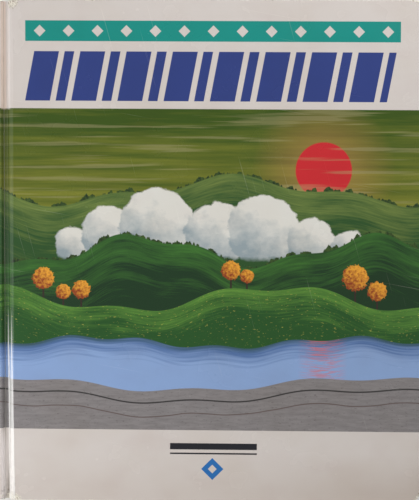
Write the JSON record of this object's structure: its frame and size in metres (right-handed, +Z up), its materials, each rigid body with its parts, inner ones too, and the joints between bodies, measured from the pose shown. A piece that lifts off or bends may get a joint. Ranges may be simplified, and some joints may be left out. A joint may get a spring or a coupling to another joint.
{
  "type": "hardcover book",
  "caption": "Hardcover book lying on its back cover: folded paper sections in a stiff case, whose front and back covers open on paper hinges along the spine.",
  "frame": {"origin": "on the ground under the middle of the closed book", "axes": "+X from the spine to the fore-edge, +Y to the head of the page, +Z up through the front cover"},
  "size_m": [0.2122, 0.2504, 0.017],
  "materials": {
    "laminated_print": "gloss laminated",
    "greyboard": "matte",
    "endpaper": "matte",
    "page_paper": "satin",
    "gauze": "open weave",
    "band_cloth": "woven"
  },
  "bodies": {
    "text_block": {"signature_01": "page_paper", "signature_02": "page_paper", "signature_03": "page_paper", "signature_04": "page_paper", "signature_05": "page_paper", "signature_06": "page_paper", "signature_07": "page_paper", "signature_08": "page_paper", "signature_09": "page_paper", "signature_10": "page_paper", "front_flyleaf": "endpaper", "back_flyleaf": "endpaper", "spine_lining": "gauze", "head_band": "band_cloth", "tail_band": "band_cloth", "spine_board": "greyboard", "spine_paper": "laminated_print"},
    "front_cover": {"front_board": "greyboard", "front_cover_paper": "laminated_print", "front_pastedown": "endpaper"},
    "back_cover": {"back_board": "greyboard", "back_cover_paper": "laminated_print", "back_pastedown": "endpaper"}
  },
  "joints": [
    {"name": "front_cover_hinge", "type": "hinge", "parent": "text_block", "child": "front_cover", "pos_m": [-0.102, 0, 0.01734], "axis": [0, -1, 0], "range_deg": [0, 179]},
    {"name": "back_cover_hinge", "type": "hinge", "parent": "text_block", "child": "back_cover", "pos_m": [-0.102, 0, -0.0003], "axis": [0, 1, 0], "range_deg": [0, 179]}
  ]
}
